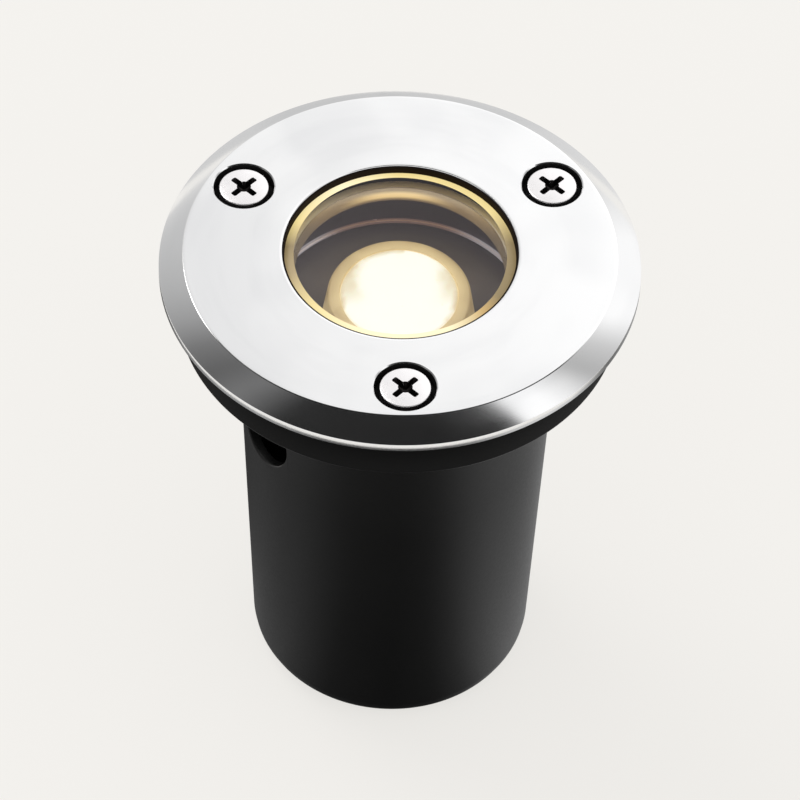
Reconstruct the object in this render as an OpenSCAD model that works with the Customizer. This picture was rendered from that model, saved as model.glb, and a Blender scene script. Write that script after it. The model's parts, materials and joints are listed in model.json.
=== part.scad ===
// In-ground well light: a lamp fixture that lifts out of a tapered mounting sleeve.
// The base stands on z = 0, +Z is up and one of the trim screws faces -Y.

/* [Trim ring] */
// Diameter of the opening over the glass, which the pieces round it follow
opening_d = 56.2; // [46:0.2:64]
// How far the ring reaches past the sleeve's collar
ring_lap = 4.2; // [2:0.1:10]
// Width of the bevel round the flat top face
ring_bevel_w = 5.75; // [4:0.05:8]
// Height of its upright rim
ring_rim_h = 1.3; // [0.8:0.1:2.5]
// Height of the bevel above the rim
ring_bevel_h = 3.9; // [3.4:0.1:6]
// Thickness of the ring where it holds the glass down
plate_t = 2.6; // [1.8:0.1:3.4]
// Edge break round the opening
opening_chamfer = 0.3; // [0.1:0.1:0.8]

/* [Trim screws] */
// Number of trim screws
screw_count = 3; // [3:1:4]
// Distance of the trim screws' middles from the edge of the opening
screw_inset = 14.8; // [14:0.1:18]
// Head diameter
head_d = 12; // [10:0.2:12.6]
// Head height
head_h = 3.5; // [2.5:0.1:3.8]
// Gap round the head in its counterbore
head_gap = 1.35; // [0.5:0.05:1.6]
// How far the head stands below the top face
head_sink = 0.2; // [0:0.1:0.5]
// Thread diameter
thread_d = 6; // [5:0.5:6]
// Length under the head
thread_l = 10; // [8:0.5:10.5]
// Span of the cross recess
cross_span = 7.6; // [6:0.2:8.4]
// Width of the cross recess
cross_w = 1.5; // [1:0.1:2]
// Depth of the cross recess
cross_depth = 2; // [1:0.1:2.4]
// Gap round the thread in the ring
thread_hole_gap = 0.3; // [0.2:0.05:0.5]
// Running clearance of the thread in its boss
thread_fit = 0.05; // [0.02:0.01:0.1]

/* [Glass and gasket] */
// How far the glass reaches under the ring
glass_lap = 4.4; // [3:0.1:6]
// Thickness of the glass at its edge
glass_edge_t = 3.6; // [3:0.1:5]
// Height of its raised middle above that edge
raised_h = 1.9; // [1.5:0.1:3]
// Width of the ground bevel
bevel_w = 2.2; // [1:0.1:4]
// Height of the ground bevel
bevel_h = 0.6; // [0.4:0.1:1.2]
// Thickness of the gasket's lining in the opening
lining_t = 0.35; // [0.3:0.05:0.8]
// How far the lining stands below the top face
lining_sink = 0.3; // [0.2:0.1:0.8]
// Thickness of each gasket lip
lip_t = 0.8; // [0.5:0.1:1]
// Thickness of the gasket round the edge of the glass
gasket_wall = 0.8; // [0.5:0.1:1]
// Gap between the gasket lip and the raised glass
lip_gap = 0.1; // [0.05:0.05:0.3]
// Gap round the gasket in the ring
gasket_gap = 0.2; // [0.1:0.1:0.5]

/* [Lens frame] */
// How far the lens frame stands in from the edge of the opening
frame_inset = 2.8; // [1:0.1:4]
// How far its flange reaches past the gasket
frame_lap = 1.8; // [1:0.1:3]
// Thickness of its flange
frame_t = 2; // [1.5:0.1:2.2]
// Length of its skirt below the top of the flange
skirt_h = 4.3; // [3:0.1:10]
// Thickness of the skirt
skirt_t = 1.6; // [1.2:0.1:2.4]
// Gap round the frame in the housing
frame_gap = 0.2; // [0.1:0.05:0.4]

/* [Mounting sleeve] */
// Height of the tapered barrel below the collar
barrel_h = 119.6; // [112:0.2:150]
// Taper of each side of the barrel in degrees
barrel_draft = 1.93; // [0.5:0.01:3]
// Fillet round the foot
foot_fillet = 6.9; // [3:0.1:9]
// Wall thickness of the sleeve
sleeve_wall = 2.4; // [1.8:0.1:2.6]
// Thickness of the sleeve's floor
sleeve_floor = 2.6; // [2:0.1:4]
// Height of the collar
collar_h = 13.8; // [13.5:0.1:16]
// Fillet under the collar
collar_fillet = 0.8; // [0.4:0.1:2.3]
// Diameter of the cable hole in the side
side_hole_d = 24; // [16:0.5:26]
// Drop of that hole's middle below the collar
side_hole_drop = 23.2; // [18:0.2:30]
// Angle of that hole to the left of the front screw
side_hole_angle = 64; // [40:1:80]
// Diameter of the conduit hole in the floor
floor_hole_d = 21; // [16:0.5:26]
// Number of drain holes in the floor
drain_count = 6; // [3:1:8]
// Diameter of a drain hole
drain_d = 6; // [4:0.5:8]
// Diameter of the circle that the drain holes stand on
drain_circle_d = 42; // [38:1:46]
// Thickness of the ribs that carry the fixture
ledge_rib_t = 2.5; // [2:0.1:4]
// Radial length of those ribs
ledge_rib_l = 6.5; // [5:0.1:8]
// Spacing of those ribs in each group of three
ledge_rib_angle = 28; // [24:1:30]

/* [Housing] */
// Thickness of the flange under the trim ring
flange_t = 6; // [5.7:0.1:7]
// How far the flange reaches past the trim screws' middles
flange_margin = 7; // [6.5:0.1:10]
// Gap round the flange in the collar
flange_gap = 1; // [0.5:0.1:1.5]
// Gap between the sleeve's rim and the trim ring
rim_gap = 0.3; // [0.2:0.1:0.8]
// Gap between the lamp bowl's top and the sleeve
bowl_gap = 0.9; // [0.3:0.05:1.5]
// Width of the shelf that the lens frame rests on
shelf_w = 1.25; // [0.8:0.05:2]
// Wall thickness of the lamp bowl
bowl_wall = 2; // [1.6:0.1:2.2]
// Taper of each side of the lamp bowl in degrees
bowl_draft = 7; // [2:0.5:9]
// Depth of the lamp bowl below the trim ring
bowl_depth = 23; // [20:0.2:28]
// Thickness of the bowl's floor
bowl_floor = 2.4; // [2:0.1:4]
// Taper of each side of the wiring pot in degrees
pot_draft = 1.2; // [0.5:0.1:3]
// Gap between the socket bracket's corners and the wiring pot
pot_gap = 1; // [0.5:0.1:3]
// Wall thickness of the wiring pot
pot_wall = 2.2; // [1.8:0.1:2.6]
// Thickness of the wiring pot's floor
pot_floor = 3; // [2.4:0.1:4]
// Diameter of a screw boss
boss_d = 12; // [10:0.5:12]
// Gap between a boss and the collar's floor
boss_gap = 0.4; // [0.3:0.1:0.8]
// Depth of a tapped hole past the screw's end
tap_spare = 1; // [0.5:0.1:1.2]
// Thickness of the casting's ribs
rib_t = 2.4; // [2:0.1:3]
// Number of ribs between the bowl and the pot
pot_rib_count = 6; // [3:1:9]
// Height of the ribs between the bowl and the pot
pot_rib_h = 16; // [8:0.5:24]
// Reach of the ribs under the flange
flange_rib_l = 8; // [4:0.5:9]
// Height of the ribs under the flange
flange_rib_h = 4.5; // [3:0.1:5]
// Thickness of the baffle plate
baffle_t = 1; // [0.8:0.1:1.5]
// Gap round the baffle plate
baffle_gap = 0.3; // [0.2:0.05:0.5]
// Depth of the turned-down edge of its hole
baffle_lip_h = 2.4; // [1.6:0.1:4]

/* [Lamp] */
// Diameter of the lamp
lamp_d = 35; // [33:0.2:37]
// Height of the lamp's front above the baffle
lamp_stand = 10.1; // [9:0.1:13]
// Length of the lamp without its pins
lamp_l = 32; // [31:0.5:36]
// Width of the bezel round the front lens
bezel_w = 3.3; // [2.5:0.1:5]
// Thickness of the front lens
lamp_lens_t = 2; // [1.5:0.1:3]
// Height of the front bezel
bezel_h = 8; // [7:0.1:9]
// Radial gap round the lamp in the baffle
lamp_gap = 0.35; // [0.3:0.05:0.8]
// Wall thickness of the lamp's front
lamp_wall = 1.4; // [1:0.1:2]
// Length of the tapered, finned shell
fin_l = 11; // [9:0.5:13]
// Diameter at the narrow end of the shell
shell_end_d = 20; // [18:0.5:22]
// Number of slots between the fins
fin_count = 18; // [12:1:20]
// Width of a slot between the fins
fin_slot = 1.4; // [1:0.1:1.8]
// Diameter of the lamp's core between the fins
core_d = 18; // [17:0.5:18]
// Diameter of the lamp's base
base_d = 16; // [14:0.5:18]
// Length of the lamp's base
base_l = 6; // [4:0.5:8]
// Thickness of the board under the lens
board_t = 1.6; // [1:0.1:2]
// Diameter of the light source
emitter_d = 9; // [6:0.5:14]
// Height of the light source
emitter_h = 1; // [0.6:0.1:2]

/* [Lamp socket] */
// Diameter of a lamp pin
pin_d = 1; // [0.8:0.05:1.2]
// Length of a lamp pin below the base
pin_l = 7.5; // [6:0.5:9]
// Distance between the lamp pins
pin_pitch = 4; // [3.6:0.1:6]
// Depth of a lamp pin inside the base
pin_root = 2; // [1:0.5:3]
// Running clearance of a pin in its contact
pin_fit = 0.05; // [0.02:0.01:0.1]
// Wall thickness of a socket contact
contact_t = 0.35; // [0.2:0.05:0.5]
// Length of a socket contact
contact_l = 9; // [7:0.5:10]
// Depth of the contacts below the socket's face
contact_sink = 1; // [0.5:0.1:2]
// Width of the socket
socket_w = 18; // [14:0.5:20]
// Depth of the socket
socket_d = 10; // [8:0.5:12]
// Height of the socket
socket_h = 13.5; // [12:0.5:15]
// How far the socket bracket reaches past its screws
bracket_end = 4; // [3:0.5:6]
// Width of the socket bracket
bracket_w = 12; // [9:0.5:13]
// Sheet thickness of the socket bracket
bracket_t = 1.5; // [1:0.1:2]
// Height of the bracket's tabs beside the socket
tab_h = 6; // [3:0.5:8]
// Distance between the bracket's screws
bracket_pitch = 34; // [32:0.5:40]
// Height of the posts under the bracket
post_h = 11.8; // [10:0.1:24]
// Diameter of the posts under the bracket
post_d = 7; // [6:0.5:7]
// Thread diameter of the small screws
small_thread_d = 3; // [2.5:0.1:3]
// Length of the small screws under the head
small_thread_l = 8; // [6:0.5:8]
// Head diameter of the small screws
small_head_d = 5.6; // [5:0.1:6]
// Head height of the small screws
small_head_h = 2; // [1.4:0.1:2.4]
// Clearance round a small screw
small_gap = 0.05; // [0.02:0.01:0.1]

/* [Terminal block] */
// Length of the terminal block
block_w = 17; // [15:0.5:17]
// Width of the terminal block
block_d = 9; // [8:0.5:9]
// Height of the terminal block
block_h = 8; // [7:0.5:9]
// Gap between the block and the gland's lock nut
block_gap = 1.8; // [0.5:0.1:2]
// Diameter of a terminal tube
tube_d = 4; // [3:0.1:4]
// Bore of a terminal tube
tube_bore_d = 2.6; // [2:0.1:2.8]
// Distance between the terminal tubes
tube_pitch = 9.5; // [9:0.1:10]
// Diameter of a clamping screw
clamp_d = 2; // [1.6:0.1:2.2]

/* [Cable gland] */
// Cable diameter that the gland seals
cable_d = 6.5; // [5:0.1:6.8]
// Thread diameter of the gland
gland_thread_d = 12; // [11.6:0.1:16]
// Least wall of the gland's hexagons round that thread
gland_hex_wall = 1.5; // [1:0.1:3]
// Thickness of the lock nut
locknut_t = 4; // [3:0.5:5]
// Thickness of the gland's hexagon collar
gland_collar_t = 5; // [4:0.5:7]
// Thickness of the sealing washer
washer_t = 1.2; // [0.8:0.1:2]
// Length of the lower thread
gland_tail_l = 7.5; // [6:0.5:9]
// Wall thickness of the gland's tubes
gland_wall = 1.2; // [1:0.1:1.3]
// Length of the clamping nut
gland_nut_l = 12; // [11:0.5:15]
// Length of the nut's hexagon
gland_hex_l = 6; // [4:0.5:8]
// Clearance between the gland's threads
gland_fit = 0.05; // [0.02:0.01:0.1]

/* [Hidden] */
$fn = 96;
cut = 1;                                    // how far a cutting shape runs past a face
z_rim = barrel_h + collar_h;                // top of the sleeve
z_ring = z_rim + rim_gap;                   // underside of the trim ring
z_bevel = z_ring + ring_rim_h;
z_top = z_bevel + ring_bevel_h;
z_plate = z_top - plate_t;                  // what presses on the gasket
z_shoulder = z_plate - lip_t;               // shoulder of the stepped glass
z_face = z_shoulder + raised_h;
z_glass = z_shoulder - glass_edge_t;        // underside of the glass
z_frame = z_glass - lip_t;                  // top of the lens frame
z_shelf = z_frame - frame_t;                // shelf in the housing
z_flange = z_ring - flange_t;
z_bowl_floor = z_ring - bowl_depth;
z_bowl = z_bowl_floor - bowl_floor;
z_baffle = z_bowl_floor + baffle_t;
z_lamp = z_baffle + lamp_stand;             // front of the lamp
z_bezel = z_lamp - bezel_h;
z_base_end = z_lamp - lamp_l;               // face that seats on the socket
z_base = z_base_end + base_l;
z_fins = z_base + fin_l;
z_board = z_bezel + emitter_h;
z_socket = z_base_end - socket_h;
z_bracket = z_socket - bracket_t;
z_pot_floor = z_bracket - post_h;
z_pot = z_pot_floor - pot_floor;            // foot of the housing
pot_h = z_bowl - z_pot;
z_collar_floor = barrel_h + sleeve_wall;
z_boss = z_collar_floor + boss_gap;
z_under_head = z_top - head_sink - head_h;
z_thread_end = z_under_head - thread_l;

lining_gap = 0.05;                          // round the gasket's lining in the opening
lip_bore_d = opening_d - 2 * (lining_gap + lining_t);
raised_d = lip_bore_d - 2 * lip_gap;        // raised middle of the glass
face_d = raised_d - 2 * bevel_w;
glass_d = opening_d + 2 * glass_lap;
gasket_d = glass_d + 2 * gasket_wall;
recess_d = gasket_d + 2 * gasket_gap;       // recess under the trim ring
frame_bore_d = opening_d - 2 * frame_inset;
frame_d = gasket_d + 2 * frame_lap;
shelf_d = frame_d + 2 * frame_gap;
bowl_bore_d = shelf_d - 2 * shelf_w;
bowl_d = bowl_bore_d + 2 * bowl_wall;       // outside of the bowl under the flange
bowl_foot_d = bowl_bore(z_bowl) + 2 * bowl_wall;
screw_circle_d = opening_d + 2 * screw_inset;
flange_d = screw_circle_d + 2 * flange_margin;
collar_bore_d = flange_d + 2 * flange_gap;
collar_d = collar_bore_d + 2 * sleeve_wall;
ring_d = collar_d + 2 * ring_lap;
ring_flat_d = ring_d - 2 * ring_bevel_w;
barrel_top_d = barrel_d(barrel_h);
barrel_foot_d = barrel_d(foot_fillet);
bracket_l = bracket_pitch + 2 * bracket_end;
pot_bore_d = norm([bracket_l, bracket_w]) + 2 * pot_gap;
pot_foot_d = pot_bore_d + 2 * pot_wall;
pot_top_d = pot_foot_d + 2 * pot_h * tan(pot_draft);
lens_gap = 0.05;                            // round the lamp's lens in its bezel
board_gap = 0.1;                            // round the board in the bezel
lamp_lens_d = lamp_d - 2 * bezel_w;
board_d = lamp_lens_d - 2 * lamp_wall - 2 * board_gap;
lens_seat_d = lamp_lens_d + 2 * lens_gap;
screw_step = 360 / screw_count;
side_hole_z = barrel_h - side_hole_drop;

z_washer = z_pot - washer_t;
z_gland_collar = z_washer - gland_collar_t;
z_gland_tail = z_gland_collar - gland_tail_l;
gland_flats = gland_thread_d + 2 * gland_hex_wall;
cable_play = 0.7;                           // round the cable in the gland's body
gland_bore_d = cable_d + 2 * cable_play;
tail_d = gland_thread_d + 0.6;              // the lower thread is a little wider
thread_end_l = 1;                           // thread that shows past the lock nut
z_gland_top = z_pot_floor + locknut_t + thread_end_l;
nut_gap = 0.4;                              // between the clamping nut and the collar
z_nut_top = z_gland_collar - nut_gap;
z_nut = z_nut_top - gland_nut_l;
nut_end_t = 2;                              // lip that holds the seal in the nut
nut_end_play = 0.3;                         // round the cable in that lip
nut_taper = 2;                              // how far the nut's end narrows
seal_gap = 0.05;
terminal_waist = 2;                         // plastic left beside each terminal tube
terminal_gap = 0.05;
tube_inset = 0.5;                           // how far a tube's end lies inside the block
driver_gap = 0.4;                           // round a clamping screw in the block
z_seal = z_nut + nut_end_t;
hex_d = gland_flats / cos(30);
block_back = hex_d / 2 + block_gap + block_d / 2;

// Outside diameter of the sleeve's barrel at a height
function barrel_d(z) =
    bowl_d + 2 * (bowl_gap + sleeve_wall + (z - z_collar_floor) * tan(barrel_draft));

// Bore of the lamp bowl at a height
function bowl_bore(z) = bowl_bore_d - 2 * (z_flange - z) * tan(bowl_draft);

// Outside diameter of the wiring pot at a height
function pot_d(z) = pot_foot_d + 2 * (z - z_pot) * tan(pot_draft);

// Places a child at a radius, with angle 0 at the front and 90 at the right
module at_angle(angle, radius) {
    rotate(angle) translate([0, -radius, 0]) children();
}

// Repeats a child at every trim screw
module at_screws() {
    for (i = [0 : screw_count - 1])
        at_angle(i * screw_step, screw_circle_d / 2) children();
}

// A ring between two heights
module tube(z0, z1, outer_d, inner_d) {
    translate([0, 0, z0]) difference() {
        cylinder(h = z1 - z0, d = outer_d);
        translate([0, 0, -cut]) cylinder(h = z1 - z0 + 2 * cut, d = inner_d);
    }
}

// A round cutter between two heights
module bore(z0, z1, d) {
    translate([0, 0, z0]) cylinder(h = z1 - z0, d = d);
}

// A triangular web that runs outwards from a wall and down from a face
module web(r0, reach, drop, thickness) {
    rotate([90, 0, -90]) translate([0, 0, -thickness / 2]) linear_extrude(thickness)
        polygon([[r0 - cut, 0], [r0 + reach, 0], [r0, -drop], [r0 - cut, -drop]]);
}

// Half outline of the sleeve's barrel, drawn in from its outside, with a filleted foot
module barrel_outline(inset, foot, top) {
    fillet = foot_fillet - inset;
    r_foot = barrel_foot_d / 2 - inset;
    polygon([[0, foot + fillet], [r_foot, foot + fillet],
             [barrel_d(top) / 2 - inset, top], [0, top]]);
    translate([0, foot]) square([r_foot - fillet, fillet + 0.01]);
    translate([r_foot - fillet, foot + fillet]) intersection() {
        circle(fillet);
        translate([0, -fillet]) square(fillet);
    }
}

// Mounting sleeve

module sleeve_shell() {
    rotate_extrude() difference() {
        union() {
            barrel_outline(0, 0, barrel_h);
            translate([0, barrel_h + collar_fillet])
                square([collar_d / 2, collar_h - collar_fillet]);
            translate([0, barrel_h])
                square([collar_d / 2 - collar_fillet, collar_fillet + 0.01]);
            translate([collar_d / 2 - collar_fillet, barrel_h + collar_fillet]) intersection() {
                circle(collar_fillet);
                translate([0, -collar_fillet]) square(collar_fillet);
            }
        }
        barrel_outline(sleeve_wall, sleeve_floor, z_collar_floor + 0.01);
        translate([0, z_collar_floor]) square([collar_bore_d / 2, collar_h]);
    }
}

module ledge_rib() {
    r0 = collar_bore_d / 2 - ledge_rib_l;
    translate([-ledge_rib_t / 2, -collar_bore_d / 2 - sleeve_wall / 2, z_collar_floor - cut])
        cube([ledge_rib_t, ledge_rib_l + sleeve_wall / 2, z_flange - z_collar_floor + cut]);
}

module mounting_sleeve() {
    color([0.10, 0.10, 0.10]) difference() {
        union() {
            sleeve_shell();
            for (i = [0 : screw_count - 1], side = [-1 : 1])
                rotate((i + 0.5) * screw_step + side * ledge_rib_angle) ledge_rib();
        }
        translate([0, 0, side_hole_z]) rotate(-side_hole_angle) rotate([90, 0, 0])
            cylinder(h = barrel_top_d, d = side_hole_d);
        bore(-cut, sleeve_floor + cut, floor_hole_d);
        for (i = [0 : drain_count - 1])
            at_angle((i + 0.5) * 360 / drain_count, drain_circle_d / 2)
                bore(-cut, sleeve_floor + cut, drain_d);
    }
}

// Housing

module bracket_posts() {
    for (side = [-1, 1])
        translate([side * bracket_pitch / 2, 0, z_pot_floor - cut]) difference() {
            cylinder(h = z_bracket - z_pot_floor + cut, d = post_d);
            translate([0, 0, z_bracket - z_pot_floor + cut + bracket_t - small_thread_l - cut])
                cylinder(h = small_thread_l + cut, d = small_thread_d + 2 * small_gap);
        }
}

module housing_solid() {
    bore(z_flange, z_ring, flange_d);
    translate([0, 0, z_bowl]) cylinder(h = z_flange - z_bowl, d1 = bowl_foot_d, d2 = bowl_d);
    translate([0, 0, z_pot]) cylinder(h = pot_h + 0.01, d1 = pot_foot_d, d2 = pot_top_d);
    at_screws() bore(z_boss, z_flange + 0.01, boss_d);
    for (i = [0 : screw_count - 1], side = [-1, 1])
        rotate((i + 0.5) * screw_step + side * ledge_rib_angle / 2)
            translate([0, 0, z_flange + 0.01])
                web(bowl_d / 2, flange_rib_l, flange_rib_h, rib_t);
    for (i = [0 : pot_rib_count - 1])
        rotate((i + 0.5) * 360 / pot_rib_count) translate([0, 0, z_bowl + 0.01])
            web(pot_foot_d / 2, (bowl_foot_d - pot_foot_d) / 2 - rib_t, pot_rib_h, rib_t);
}

module housing() {
    color([0.25, 0.25, 0.27]) {
        difference() {
            housing_solid();
            bore(z_shelf, z_ring + cut, shelf_d);
            bore(z_flange - 0.01, z_shelf + cut, bowl_bore_d);
            translate([0, 0, z_bowl_floor])
                cylinder(h = z_flange - z_bowl_floor, d1 = bowl_bore(z_bowl_floor), d2 = bowl_bore_d);
            translate([0, 0, z_pot_floor])
                cylinder(h = z_bowl_floor - z_pot_floor + 0.01,
                         d1 = pot_d(z_pot_floor) - 2 * pot_wall, d2 = pot_top_d - 2 * pot_wall);
            at_screws() bore(z_thread_end - tap_spare, z_ring + cut, thread_d + 2 * thread_fit);
            bore(z_pot - cut, z_pot_floor + cut, gland_thread_d + 2 * gland_fit);
        }
        bracket_posts();
    }
}

// Cover: trim ring, screws, glass and gasket

module trim_ring() {
    color([0.86, 0.86, 0.87]) difference() {
        union() {
            bore(z_ring, z_bevel, ring_d);
            translate([0, 0, z_bevel]) cylinder(h = ring_bevel_h, d1 = ring_d, d2 = ring_flat_d);
        }
        bore(z_ring - cut, z_top + cut, opening_d);
        bore(z_ring - cut, z_plate, recess_d);
        translate([0, 0, z_top - opening_chamfer])
            cylinder(h = opening_chamfer + 0.01, d1 = opening_d, d2 = opening_d + 2 * opening_chamfer);
        at_screws() {
            bore(z_under_head, z_top + cut, head_d + 2 * head_gap);
            bore(z_ring - cut, z_top, thread_d + 2 * thread_hole_gap);
        }
    }
}

// One screw, whose cross stands diagonally however far the screw is round the ring
module trim_screw(facing) {
    crown = 0.8;
    difference() {
        union() {
            bore(z_thread_end, z_under_head + 0.01, thread_d);
            bore(z_under_head, z_under_head + head_h - crown, head_d);
            translate([0, 0, z_under_head + head_h - crown])
                cylinder(h = crown, d1 = head_d, d2 = head_d - 2 * crown);
        }
        for (turn = [45, 135])
            rotate(turn - facing)
                translate([-cross_span / 2, -cross_w / 2, z_top - head_sink - cross_depth])
                    cube([cross_span, cross_w, cross_depth + cut]);
    }
}

module trim_screws() {
    color([0.9, 0.89, 0.88])
        for (i = [0 : screw_count - 1])
            at_angle(i * screw_step, screw_circle_d / 2) trim_screw(i * screw_step);
}

module lens_glass() {
    color([0.85, 0.92, 0.90, 0.5]) rotate_extrude() polygon([
        [0, z_glass], [glass_d / 2, z_glass], [glass_d / 2, z_shoulder],
        [raised_d / 2, z_shoulder], [raised_d / 2, z_face - bevel_h],
        [face_d / 2, z_face], [0, z_face]
    ]);
}

module lens_gasket() {
    color([0.06, 0.06, 0.06]) difference() {
        union() {
            bore(z_frame, z_plate, gasket_d);
            bore(z_shoulder, z_top - lining_sink, opening_d - 2 * lining_gap);
        }
        bore(z_frame - cut, z_top, lip_bore_d);
        bore(z_glass, z_shoulder, glass_d);
    }
}

// Lens frame and baffle

module lens_frame() {
    color([0.62, 0.57, 0.47]) {
        tube(z_shelf, z_frame, frame_d, frame_bore_d);
        tube(z_frame - skirt_h, z_shelf + 0.01, frame_bore_d + 2 * skirt_t, frame_bore_d);
    }
}

module baffle_plate() {
    hole_d = lamp_d + 2 * lamp_gap;
    color([0.28, 0.27, 0.28]) {
        tube(z_bowl_floor, z_baffle, bowl_bore(z_bowl_floor) - 2 * baffle_gap, hole_d);
        tube(z_baffle - baffle_lip_h, z_bowl_floor + 0.01, hole_d + 2 * baffle_t, hole_d);
    }
}

// Lamp

module lamp_bezel() {
    color([0.80, 0.72, 0.52]) difference() {
        bore(z_bezel, z_lamp, lamp_d);
        bore(z_bezel - cut, z_lamp + cut, lamp_lens_d - 2 * lamp_wall);
        bore(z_lamp - lamp_lens_t, z_lamp + cut, lens_seat_d);
    }
}

module lamp_lens() {
    color([1.0, 0.97, 0.88]) bore(z_lamp - lamp_lens_t, z_lamp, lamp_lens_d);
}

module led_board() {
    color([0.9, 0.9, 0.88]) bore(z_bezel, z_bezel + board_t, board_d);
}

module led_emitter() {
    color([1.0, 0.85, 0.3]) bore(z_bezel + board_t, z_bezel + board_t + emitter_h, emitter_d);
}

module lamp_shell() {
    color([0.75, 0.75, 0.76]) difference() {
        union() {
            bore(z_fins, z_bezel, lamp_d);
            translate([0, 0, z_base]) cylinder(h = fin_l + 0.01, d1 = shell_end_d, d2 = lamp_d);
        }
        difference() {
            for (i = [0 : fin_count - 1])
                rotate(i * 360 / fin_count)
                    translate([-fin_slot / 2, -lamp_d, z_base - cut])
                        cube([fin_slot, lamp_d, fin_l + cut]);
            bore(z_base - 2 * cut, z_fins + cut, core_d);
        }
    }
}

module lamp_base() {
    color([0.93, 0.92, 0.88]) difference() {
        bore(z_base_end, z_base, base_d);
        lamp_pin_shape(pin_d / 2 + pin_fit);
    }
}

module lamp_pin_shape(r) {
    for (side = [-1, 1])
        translate([side * pin_pitch / 2, 0, z_base_end - pin_l])
            cylinder(h = pin_l + pin_root, r = r);
}

module lamp_pins() {
    color([0.82, 0.8, 0.74]) lamp_pin_shape(pin_d / 2);
}

// Lamp socket and bracket

contact_r = pin_d / 2 + pin_fit + contact_t;
z_contact = z_base_end - contact_sink - contact_l;

module at_pins() {
    for (side = [-1, 1]) translate([side * pin_pitch / 2, 0, 0]) children();
}

module lamp_socket() {
    color([0.94, 0.93, 0.9]) difference() {
        translate([-socket_w / 2, -socket_d / 2, z_socket]) cube([socket_w, socket_d, socket_h]);
        at_pins() bore(z_contact, z_base_end + cut, 2 * contact_r);
    }
}

module socket_contacts() {
    color([0.8, 0.66, 0.3]) at_pins()
        tube(z_contact, z_contact + contact_l, 2 * contact_r, pin_d + 2 * pin_fit);
}

module socket_bracket() {
    color([0.7, 0.7, 0.7]) difference() {
        union() {
            translate([-bracket_l / 2, -bracket_w / 2, z_bracket])
                cube([bracket_l, bracket_w, bracket_t]);
            for (side = [-1, 1])
                translate([side * (socket_w + bracket_t) / 2 - bracket_t / 2, -socket_d / 2, z_bracket])
                    cube([bracket_t, socket_d, bracket_t + tab_h]);
        }
        for (side = [-1, 1]) translate([side * bracket_pitch / 2, 0, 0])
            bore(z_bracket - cut, z_socket + cut, small_thread_d + 2 * small_gap);
    }
}

module bracket_screws() {
    color([0.8, 0.8, 0.8])
        for (side = [-1, 1]) translate([side * bracket_pitch / 2, 0, 0]) {
            bore(z_socket - small_thread_l, z_socket + 0.01, small_thread_d);
            bore(z_socket, z_socket + small_head_h, small_head_d);
        }
}

// Terminal block

z_tube = z_pot_floor + block_h / 2;

module at_terminals() {
    for (side = [-1, 1]) translate([side * tube_pitch / 2, block_back, z_tube]) children();
}

module lying_tube(d, l) {
    rotate([90, 0, 0]) translate([0, 0, -l / 2]) cylinder(h = l, d = d);
}

// The two clamping screws of one terminal
module at_clamps() {
    for (side = [-1, 1]) translate([0, side * block_d / 4, 0]) children();
}

module terminal_block() {
    waist = tube_pitch - tube_d - terminal_waist;
    color([0.9, 0.9, 0.86]) difference() {
        translate([-block_w / 2, block_back - block_d / 2, z_pot_floor])
            cube([block_w, block_d, block_h]);
        translate([-waist / 2, block_back - block_d / 2 - cut, z_pot_floor + block_h / 3])
            cube([waist, block_d + 2 * cut, block_h]);
        at_terminals() {
            lying_tube(tube_d + 2 * terminal_gap, block_d + 2 * cut);
            at_clamps() cylinder(h = block_h, d = clamp_d + 2 * driver_gap);
        }
    }
}

module terminal_tubes() {
    color([0.8, 0.66, 0.3]) at_terminals() difference() {
        lying_tube(tube_d, block_d - 2 * tube_inset);
        lying_tube(tube_bore_d, block_d);
        at_clamps() cylinder(h = tube_d, d = clamp_d + 2 * terminal_gap);
    }
}

module terminal_screws() {
    bite = 0.2;                             // how far a screw reaches into the tube's bore
    color([0.75, 0.75, 0.75]) at_terminals() at_clamps()
        bore(tube_bore_d / 2 - bite, block_h / 2 - tube_bore_d / 4, clamp_d);
}

// Cable gland

module hexagon(z0, z1) {
    translate([0, 0, z0]) rotate(30) cylinder(h = z1 - z0, d = hex_d, $fn = 6);
}

module gland_body() {
    color([0.13, 0.13, 0.13]) difference() {
        union() {
            bore(z_gland_collar, z_gland_top, gland_thread_d);
            hexagon(z_gland_collar, z_washer);
            bore(z_gland_tail, z_gland_collar + 0.01, tail_d);
        }
        bore(z_gland_tail - cut, z_gland_top + cut, gland_bore_d);
        bore(z_gland_tail - cut, z_gland_collar, tail_d - 2 * gland_wall);
    }
}

module gland_washer() {
    color([0.05, 0.05, 0.05]) tube(z_washer, z_pot, gland_flats, gland_thread_d + 2 * gland_fit);
}

module gland_locknut() {
    color([0.13, 0.13, 0.13]) difference() {
        hexagon(z_pot_floor, z_pot_floor + locknut_t);
        bore(z_pot_floor - cut, z_pot_floor + locknut_t + cut, gland_thread_d + 2 * gland_fit);
    }
}

module gland_seal() {
    color([0.3, 0.3, 0.3]) {
        tube(z_seal, z_gland_collar, tail_d - 2 * gland_wall - 2 * seal_gap, cable_d);
    }
}

module gland_nut() {
    color([0.13, 0.13, 0.13]) difference() {
        union() {
            hexagon(z_nut_top - gland_hex_l, z_nut_top);
            translate([0, 0, z_nut])
                cylinder(h = gland_nut_l - gland_hex_l + 0.01,
                         d1 = gland_flats - 2 * nut_taper, d2 = gland_flats);
        }
        bore(z_nut - cut, z_seal + cut, cable_d + 2 * nut_end_play);
        bore(z_seal, z_nut_top + cut, tail_d - 2 * gland_wall);
        bore(z_gland_tail, z_nut_top + cut, tail_d + 2 * gland_fit);
    }
}

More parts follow.
